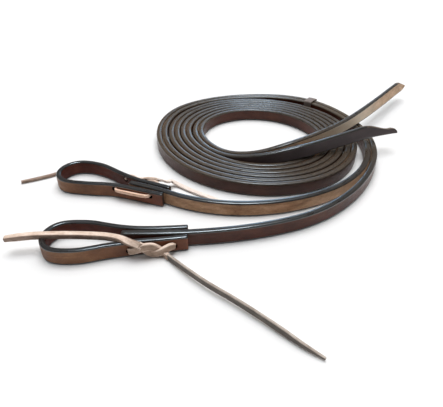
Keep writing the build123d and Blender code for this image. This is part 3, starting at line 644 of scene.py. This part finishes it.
near_line = line_of(NEAR_REIN, 3.0 * MM)
near_s = arc_length(near_line)
near_back = near_s[-1] - near_s
near_lean = np.radians(16) * np.clip((0.18 - near_back) / 0.12, 0, 1) ** 1.3
near_rein = sweep_band("near_rein_strap", near_line, outward(near_line, near_lean), profile, regions,
                       [GRAIN, EDGE, FLESH, CUT], rein_shape(1, near_top), region_of=near_region)
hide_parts("near_rein_bit_end", "near_rein_coil", "near_rein_tail")

far_line = line_of(reach_out(FAR_REIN, 2.0 * MM), 3.0 * MM)
far_s = arc_length(far_line)
far_back = far_s[-1] - far_s
far_lean = np.radians(19) * np.clip((0.21 - far_back) / 0.14, 0, 1) ** 1.3
far_rein = sweep_band("far_rein_strap", far_line, outward(far_line, far_lean), profile, flip,
                      [GRAIN, EDGE, FLESH, CUT], rein_shape(2, far_top, far_bottom), s_shift=3.0, region_of=far_region)
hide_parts("far_rein_bit_end", "far_rein_coil", "far_rein_tail")

# -------------------------------------------------------------- water loops
loop_profile, loop_regions = band_profile(LOOP_T, W, 1.25 * MM, 0.10 * MM, arc=6)


def loop_shape(seed):
    def shape(s, total, p):
        q = p.copy()
        q[:, 0] *= 1 - 0.02 * (1 + noise.noise(Vector((s * 30 + seed * 7.7, seed, 1.3))))
        q[:, 1] *= 1 - 0.008 * (1 + noise.noise(Vector((s * 45 + seed * 2.9, seed, 8.1))))
        return q
    return shape


def punch(obj, centres, direction, radius, reach):
    """Round holes through a strap, with the raw hole wall in its own near-black material, painted shade inside the
    hole.
    """
    mesh = bpy.data.meshes.new("punch")
    bm = bmesh.new()
    d = Vector((*direction, 0)).normalized()
    turn = d.to_track_quat("Z", "Y").to_matrix().to_4x4()
    for c in centres:
        ret = bmesh.ops.create_cone(bm, cap_ends=True, segments=24, radius1=radius, radius2=radius, depth=2 * reach)
        bmesh.ops.transform(bm, matrix=turn, verts=ret["verts"])
        bmesh.ops.translate(bm, vec=Vector(c), verts=ret["verts"])
    bm.to_mesh(mesh)
    bm.free()
    cutter = bpy.data.objects.new("punch", mesh)
    bpy.context.collection.objects.link(cutter)
    mesh.materials.append(HOLE_WALL_SHADE)
    mod = obj.modifiers.new("holes", "BOOLEAN")
    mod.operation = "DIFFERENCE"
    mod.solver = "EXACT"
    mod.material_mode = "TRANSFER"
    mod.object = cutter
    dg = bpy.context.evaluated_depsgraph_get()
    dg.update()
    new = bpy.data.meshes.new_from_object(obj.evaluated_get(dg))
    obj.modifiers.clear()
    obj.data = new
    bpy.data.objects.remove(cutter)


near_loop_line = line_of(NEAR_LOOP, 1.5 * MM)
near_loop = sweep_band("near_loop_strap", near_loop_line, outward(near_loop_line), loop_profile, loop_regions,
                       [LOOP_OUT, LOOP_EDGE, LOOP_IN, LOOP_CUT], loop_shape(3), s_shift=0.0)
punch(near_loop, NEAR_HOLES["points"], NEAR_HOLES["direction"], 2.0 * MM, 18 * MM)
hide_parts("near_bit_loop")
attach(near_loop, "near_bit_end")

far_loop_line = line_of(FAR_LOOP, 1.5 * MM)
far_loop = sweep_band("far_loop_strap", far_loop_line, outward(far_loop_line), loop_profile, loop_regions,
                      [LOOP_OUT, LOOP_EDGE, LOOP_IN, LOOP_CUT], loop_shape(4), s_shift=0.4)
punch(far_loop, FAR_HOLES["points"], FAR_HOLES["direction"], 2.4 * MM, 18 * MM)
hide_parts("far_bit_loop")
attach(far_loop, "far_bit_end")


# -------------------------------------------------------------------- laces
def rest_on_floor(obj):
    """Presses whatever would dip below the floor flat against it."""
    for v in obj.data.vertices:
        if v.co.z < 0.8 * MM:
            v.co.z = 0.1 * MM + 0.7 * MM * math.exp((v.co.z - 0.8 * MM) / (0.7 * MM))


def lace(name, co, faces, width=None, thick=None, materials=None, bevel=0.0004):
    """A flat thong. faces is the outward direction of its broad face at each point."""
    prof, reg = band_profile(LACE_T, LACE_W, 0.55 * MM, 0.0, arc=3, flat=2)

    def shape(s, total, p):
        q = p.copy()
        q[:, 0] *= thick(s, total) if thick else 1.0
        q[:, 1] *= width(s, total) if width else 1.0
        return q

    obj = sweep_band(name, co, faces, prof, reg, materials or [LACE, LACE_SHADED_SIDE, LACE_SHADED_SIDE, LACE], shape, bevel=bevel)
    rest_on_floor(obj)
    return obj


def spline_points(rows, step):
    """Points and facing directions along a short knot band: rows are (x, y, z, facing x, y, z)."""
    rows = np.array(rows, float)
    co = line_of([tuple(r[:3]) for r in rows], step)
    key = arc_length(rows[:, :3])
    key = key / key[-1]
    s = arc_length(co)
    s = s / s[-1]
    face = np.stack([np.interp(s, key, rows[:, 3 + k]) for k in range(3)], axis=1)
    return co, unit(face)



NEAR_BAND_A = [
    (-0.11044, -0.14587, 0.00088, -0.999, -0.037, -0),
    (-0.10931, -0.15015, 0.00461, -0.999, -0.037, -0),
    (-0.10909, -0.15194, 0.00626, -0.781, -0.529, -0),
    (-0.10716, -0.15263, 0.00706, -0.214, -0.959, -0),
    (-0.10458, -0.15272, 0.00779, 0.037, -0.999, -0),
    (-0.10107, -0.15306, 0.00957, 0.037, -0.999, -0),
    (-0.09655, -0.15303, 0.01103, 0.037, -0.999, 0.25),
    (-0.0925, -0.15166, 0.01032, 0.037, -0.999, 0.25),
    (-0.08931, -0.14952, 0.00671, 0.037, -0.999, -0),
    (-0.08685, -0.14872, 0.00279, 0.037, -0.999, -0),
    (-0.08485, -0.14971, 0.00098, 0.037, -0.999, -0),
    (-0.08338, -0.1521, 0.0025, -0.732, -0.681, 0),
    (-0.08134, -0.15429, 0.00271, -0.732, -0.681, 0),
]
NEAR_BAND_B = [
    (-0.07875, -0.14071, 0.00155, 0.999, 0.037, 0),
    (-0.07805, -0.14505, 0.00525, 0.999, 0.037, 0),
    (-0.07796, -0.14676, 0.00661, 0.818, -0.47, 0),
    (-0.07923, -0.14798, 0.00746, 0.285, -0.94, 0),
    (-0.08116, -0.149, 0.00721, 0.037, -0.999, -0),
    (-0.08378, -0.15044, 0.00647, 0.037, -0.999, -0),
    (-0.08748, -0.15156, 0.00508, 0.037, -0.999, -0),
    (-0.09138, -0.15128, 0.00351, 0.037, -0.999, -0),
    (-0.09494, -0.15044, 0.00344, 0.037, -0.999, -0),
    (-0.09721, -0.1503, 0.0055, 0.037, -0.999, -0),
    (-0.09866, -0.15125, 0.0081, 0.037, -0.999, 0.25),
    (-0.09995, -0.15267, 0.01072, 0.034, -0.899, 0.45),
    (-0.10208, -0.15311, 0.01279, 0.032, -0.849, 0.6),
]
NEAR_BACK_BAR = [
    (-0.11043, -0.13443, 0.00533, -0.999, -0.037, -0),
    (-0.11058, -0.13033, 0.00533, -0.999, -0.037, -0),
    (-0.10947, -0.12799, 0.00533, -0.726, 0.673, 0),
    (-0.10616, -0.12816, 0.00563, -0.037, 0.999, 0),
    (-0.09945, -0.12831, 0.00573, -0.037, 0.999, 0),
    (-0.08945, -0.12814, 0.00553, -0.037, 0.999, 0),
    (-0.08275, -0.12799, 0.00523, -0.037, 0.999, 0),
    (-0.07945, -0.12777, 0.00533, 0.673, 0.726, 0),
    (-0.07817, -0.12992, 0.00533, 0.999, 0.037, 0),
    (-0.07805, -0.13322, 0.00533, 0.999, 0.037, 0),
]
FAR_FRONT_BAR = [
    (-0.13242, -0.06992, 0.00889, -0.925, 0.379, -0),
    (-0.13396, -0.07394, 0.00889, -0.925, 0.379, -0),
    (-0.13407, -0.07606, 0.00899, -0.913, -0.382, -0),
    (-0.13126, -0.07764, 0.00889, -0.379, -0.925, -0),
    (-0.12554, -0.07934, 0.00859, -0.379, -0.925, -0),
    (-0.11602, -0.08248, 0.00839, -0.379, -0.925, -0),
    (-0.10866, -0.08496, 0.00859, -0.379, -0.925, -0),
    (-0.10551, -0.08571, 0.00879, 0.382, -0.913, 0),
    (-0.10381, -0.08392, 0.00889, 0.925, -0.379, 0),
    (-0.10254, -0.08109, 0.00889, 0.925, -0.379, 0),
]
FAR_BAND_A = [
    (-0.12862, -0.05853, 0.00889, -0.925, 0.379, -0),
    (-0.12692, -0.05412, 0.00889, -0.925, 0.379, -0),
    (-0.12499, -0.05335, 0.00869, -0.382, 0.913, 0),
    (-0.1221, -0.05513, 0.00829, 0.379, 0.925, 0),
    (-0.11788, -0.05802, 0.00769, 0.379, 0.925, 0),
    (-0.11326, -0.05994, 0.00829, 0.379, 0.925, 0),
    (-0.10815, -0.06066, 0.01009, 0.379, 0.925, 0.4),
    (-0.10248, -0.06263, 0.0112, 0.379, 0.925, 0.7),
    (-0.09949, -0.0628, 0.0111, 0.379, 0.925, 0.9),
]
FAR_BAND_B = [
    (-0.09909, -0.0748, 0.00889, 0.925, -0.379, 0),
    (-0.09722, -0.07049, 0.00889, 0.925, -0.379, 0),
    (-0.09792, -0.06824, 0.00909, 0.913, 0.382, 0),
    (-0.10085, -0.06658, 0.00969, 0.379, 0.925, 0),
    (-0.10534, -0.06435, 0.00949, 0.379, 0.925, 0),
    (-0.10943, -0.06114, 0.00749, 0.379, 0.925, 0),
    (-0.11398, -0.05905, 0.00589, 0.379, 0.925, 0),
    (-0.11921, -0.05599, 0.0056, 0.303, 0.74, 0.6),
    (-0.12145, -0.05425, 0.00462, 0.265, 0.648, 0.7),
]


def through_hole(s, total):
    """The thong is squeezed narrower where it passes a round hole."""
    t = min(1.0, max(0.0, (s - 4.0 * MM) / (8.0 * MM)))
    return 0.50 + 0.64 * math.sin(t * math.pi / 2)


def through_both(s, total):
    e = min(s, total - s)
    return 0.52 + 0.08 * min(1.0, max(0.0, (e - 4.5 * MM) / (6.0 * MM)))


near_bits = []
for name, rows, width in (("near_knot_left_strand", NEAR_BAND_A, through_hole),
                          ("near_knot_right_strand", NEAR_BAND_B, through_hole),
                          ("near_back_bar", NEAR_BACK_BAR, through_both)):
    co, face = spline_points(rows, 0.8 * MM)
    near_bits.append(lace(name, co, face, width=width, thick=lambda s, total: 0.85 + 0.35 * min(1.0, s / (9 * MM)),
                          materials=[LACE_HALF_SHADED, LACE, LACE_SHADED_SIDE, LACE]))
    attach(near_bits[-1], "near_bit_end")
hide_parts("near_lace_tie")

far_bits = []
for name, rows, width in (("far_knot_left_strand", FAR_BAND_A, through_hole),
                          ("far_knot_right_strand", FAR_BAND_B, through_hole),
                          ("far_front_bar", FAR_FRONT_BAR, through_both)):
    co, face = spline_points(rows, 0.8 * MM)
    far_bits.append(lace(name, co, face, width=width, thick=lambda s, total: 0.8 if "front" in name else 1.0,
                         materials=[LACE_PINK, LACE_PINK, LACE_SHADED_SIDE, LACE] if "front" in name else [LACE_PALE, LACE, LACE_SHADED_SIDE, LACE]))
    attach(far_bits[-1], "far_bit_end")
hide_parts("far_lace_tie")


def fading(co, first, last, over):
    """Facing directions that turn from one direction to another over a length."""
    s = arc_length(co)
    w = np.clip(s / over, 0, 1)
    w = w * w * (3 - 2 * w)
    return unit(np.array(first) * (1 - w)[:, None] + np.array(last) * w[:, None])


def tapered(over, least):
    return lambda s, total: least + (1 - least) * min(1.0, (total - s) / over) ** 0.8


def free_lace(name, route, faces, node, body, materials, width=None, thick=None):
    co = line_of(route, 1.2 * MM)
    obj = lace(name, co, faces(co), width=width, thick=thick, materials=materials)
    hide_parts(node)
    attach(obj, body)
    return obj


near_left = free_lace("near_lace_left", NEAR_LACE_LEFT, lambda co: fading(co, (0.032, -0.849, 0.600), (0, 0, 1), 0.022),
                      "near_lace_tail_left", "near_bit_end", [LACE, LACE_SHADED_SIDE, LACE_SHADED_SIDE, LACE],
                      width=lambda s, total: 1.08 - 0.2 * max(0.0, 1 - (total - s) / 0.008),
                      thick=lambda s, total: 1.25 + 0.45 * min(1.0, s / 0.02) - 0.3 * max(0.0, 1 - (total - s) / 0.01))
# the broad face of this tail is grey: the lace's dyed side, darkened further as painted shade; its top rim is lighter
near_right = free_lace("near_lace_right", NEAR_LACE_RIGHT, lambda co: outward(co),
                       "near_lace_tail_right", "near_bit_end", [LACE_DYED_SHADED, LACE_RIM, LACE_SHADED_SIDE, LACE],
                       width=lambda s, total: 1.12 * tapered(0.026, 0.26)(s, total),
                       thick=lambda s, total: 0.8 * tapered(0.012, 0.75)(s, total))
far_left = free_lace("far_lace_left", FAR_LACE_LEFT, lambda co: fading(co, (0.265, 0.648, 0.700), (0, 0, 1), 0.02),
                     "far_lace_tail_left", "far_bit_end", [LACE_SHADED_SIDE, LACE_SHADED_SIDE, LACE_SHADED_SIDE, LACE],
                     width=lambda s, total: 0.74 - 0.1 * max(0.0, 1 - (total - s) / 0.05), thick=lambda s, total: 0.9)
far_right = free_lace("far_lace_right", FAR_LACE_RIGHT, lambda co: fading(co, (0.379, 0.925, 0.500), (0, 0, 1), 0.016),
                      "far_lace_tail_right", "far_bit_end", [LACE_PALE, LACE_PALE, LACE_SHADED_SIDE, LACE],
                      width=lambda s, total: 0.9, thick=lambda s, total: 0.8)


# ---------------------------------------------------------------- keeper

KEEPER_CENTRE = (-0.00286, 0.02641)
KEEPER_ANGLE = math.radians(52.31)
KEEPER_INNER_R, KEEPER_OUTER_R, KEEPER_LOW, KEEPER_HIGH = 0.10243, 0.11529, 0.00132, 0.01523


def keeper_band():
    """A closed leather band round both straps: a flat strip bent to a rounded rectangle."""
    strip, reg = band_profile(1.3 * MM, 9.5 * MM, 0.5 * MM, 0.0, arc=3, flat=4)
    r_mid, z_mid = (KEEPER_INNER_R + KEEPER_OUTER_R) / 2, (KEEPER_LOW + KEEPER_HIGH) / 2
    half_r, half_z = (KEEPER_OUTER_R - KEEPER_INNER_R) / 2 + 0.65 * MM, (KEEPER_HIGH - KEEPER_LOW) / 2 + 0.65 * MM
    corner = 1.3 * MM
    loop = []
    signs = ((1, 1), (-1, 1), (-1, -1), (1, -1))
    for k, (sx, sz) in enumerate(signs):
        for g in np.linspace(0, math.pi / 2, 6):
            a = g + k * math.pi / 2
            loop.append((sx * (half_r - corner) + corner * math.cos(a), sz * (half_z - corner) + corner * math.sin(a),
                         math.cos(a), math.sin(a)))
        nx, nz = signs[(k + 1) % 4]
        a = (k + 1) * math.pi / 2
        p0 = np.array(loop[-1][:2])
        p1 = np.array((nx * (half_r - corner) + corner * math.cos(a), nz * (half_z - corner) + corner * math.sin(a)))
        swell = 0.0 if k == 2 else 0.3 * MM      # crowned, except where it lies on the floor
        for t in (0.2, 0.4, 0.6, 0.8):
            q = p0 + (p1 - p0) * t + np.array((math.cos(a), math.sin(a))) * swell * math.sin(math.pi * t)
            loop.append((q[0], q[1], math.cos(a), math.sin(a)))
    loop = np.array(loop)
    centre = np.array((*KEEPER_CENTRE, 0))
    n, m = len(loop), len(strip)
    verts, faces, uvs = [], [], []
    length = np.r_[0, np.cumsum(np.linalg.norm(np.diff(np.vstack([loop, loop[:1]])[:, :2], axis=0), axis=1))]
    perim = np.r_[0, np.cumsum(np.linalg.norm(np.diff(np.vstack([strip, strip[:1]]), axis=0), axis=1))]
    for x, z, out_r, out_z in loop:
        for px, py in strip:
            d = px + (0.12 * MM * noise.noise(Vector((x * 300, z * 300, py * 260))) if px > 0 else 0)
            angle = KEEPER_ANGLE + py / r_mid
            r = r_mid + x + d * out_r
            verts.append(centre + np.array((r * math.cos(angle), r * math.sin(angle), z_mid + z + d * out_z)))
    for i in range(n):
        for j in range(m):
            k, l = (i + 1) % n, (j + 1) % m
            faces.append((i * m + j, i * m + l, k * m + l, k * m + j))
            u0, u1, v0, v1 = length[i] * 100, length[i + 1] * 100, perim[j] * 100, perim[j + 1] * 100
            uvs += [(u0, v0), (u0, v1), (u1, v1), (u1, v0)]
    mesh = bpy.data.meshes.new("keeper_band")
    mesh.from_pydata([tuple(v) for v in verts], [], faces)
    mesh.materials.append(KEEPER)
    mesh.polygons.foreach_set("use_smooth", [True] * len(faces))
    layer = mesh.uv_layers.new(name="strap")
    layer.data.foreach_set("uv", [c for uv in uvs for c in uv])
    obj = bpy.data.objects.new("keeper_band", mesh)
    bpy.context.collection.objects.link(obj)
    bm = bmesh.new()
    bm.from_mesh(mesh)
    bmesh.ops.recalc_face_normals(bm, faces=bm.faces)
    bm.to_mesh(mesh)
    bm.free()
    return obj


keeper = keeper_band()
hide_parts("coil_keeper")
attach(keeper, "keeper")


# ------------------------------------------------- rein placement baked into the meshes
def bend_at(obj):
    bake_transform(obj)


bend_at(near_rein)
bend_at(far_rein)

# ------------------------------------------------------------ floor and light
floor_mesh = bpy.data.meshes.new("studio_floor")
floor_mesh.from_pydata([(-6, -6, 0), (6, -6, 0), (6, 6, 0), (-6, 6, 0)], [], [(0, 1, 2, 3)])
floor = bpy.data.objects.new("studio_floor", floor_mesh)
bpy.context.collection.objects.link(floor)
paper = bpy.data.materials.new("studio_paper")
paper.use_nodes = True
paper.node_tree.nodes["Principled BSDF"].inputs["Base Color"].default_value = (0.77, 0.77, 0.77, 1)
paper.node_tree.nodes["Principled BSDF"].inputs["Roughness"].default_value = 0.9
paper.node_tree.nodes["Principled BSDF"].inputs["Specular IOR Level"].default_value = 0.1
floor_mesh.materials.append(paper)
floor.location = (0, 0, -0.0002)

world = bpy.data.worlds.new("studio_world")
bpy.context.scene.world = world
world.use_nodes = True
world.node_tree.nodes["Background"].inputs["Color"].default_value = (1.0, 1.0, 1.0, 1)
world.node_tree.nodes["Background"].inputs["Strength"].default_value = 0.15


def broad_light(name, azimuth, elevation, angle, strength, color):
    """A far softbox: azimuth from +Y towards +X, elevation above the floor, angular size, all in degrees."""
    data = bpy.data.lights.new(name, "SUN")
    data.angle = math.radians(angle)
    data.energy = strength
    data.color = color
    obj = bpy.data.objects.new(name, data)
    a, e = math.radians(azimuth), math.radians(elevation)
    towards = Vector((math.sin(a) * math.cos(e), math.cos(a) * math.cos(e), math.sin(e)))
    obj.rotation_euler = towards.to_track_quat("Z", "Y").to_euler()
    bpy.context.collection.objects.link(obj)
    return obj


overhead = broad_light("overhead_softbox", 8.0, 82.0, 50.0, 2.8, (0.96, 0.98, 1.0))
overhead.visible_glossy = False
shine = broad_light("overhead_strip", 8.0, 79.0, 22.0, 2.7, (0.80, 0.91, 1.0))
shine.visible_diffuse = False
broad_light("back_softbox", 4.0, 19.0, 14.0, 0.17, (0.46, 0.72, 1.0))
fill = broad_light("warm_fill", 12.0, 52.0, 70.0, 1.64, (1.0, 0.95, 0.90))
fill.visible_glossy = False

scene = bpy.context.scene
scene.view_settings.view_transform = "Standard"
scene.view_settings.look = "None"
scene.view_settings.exposure = 0.0
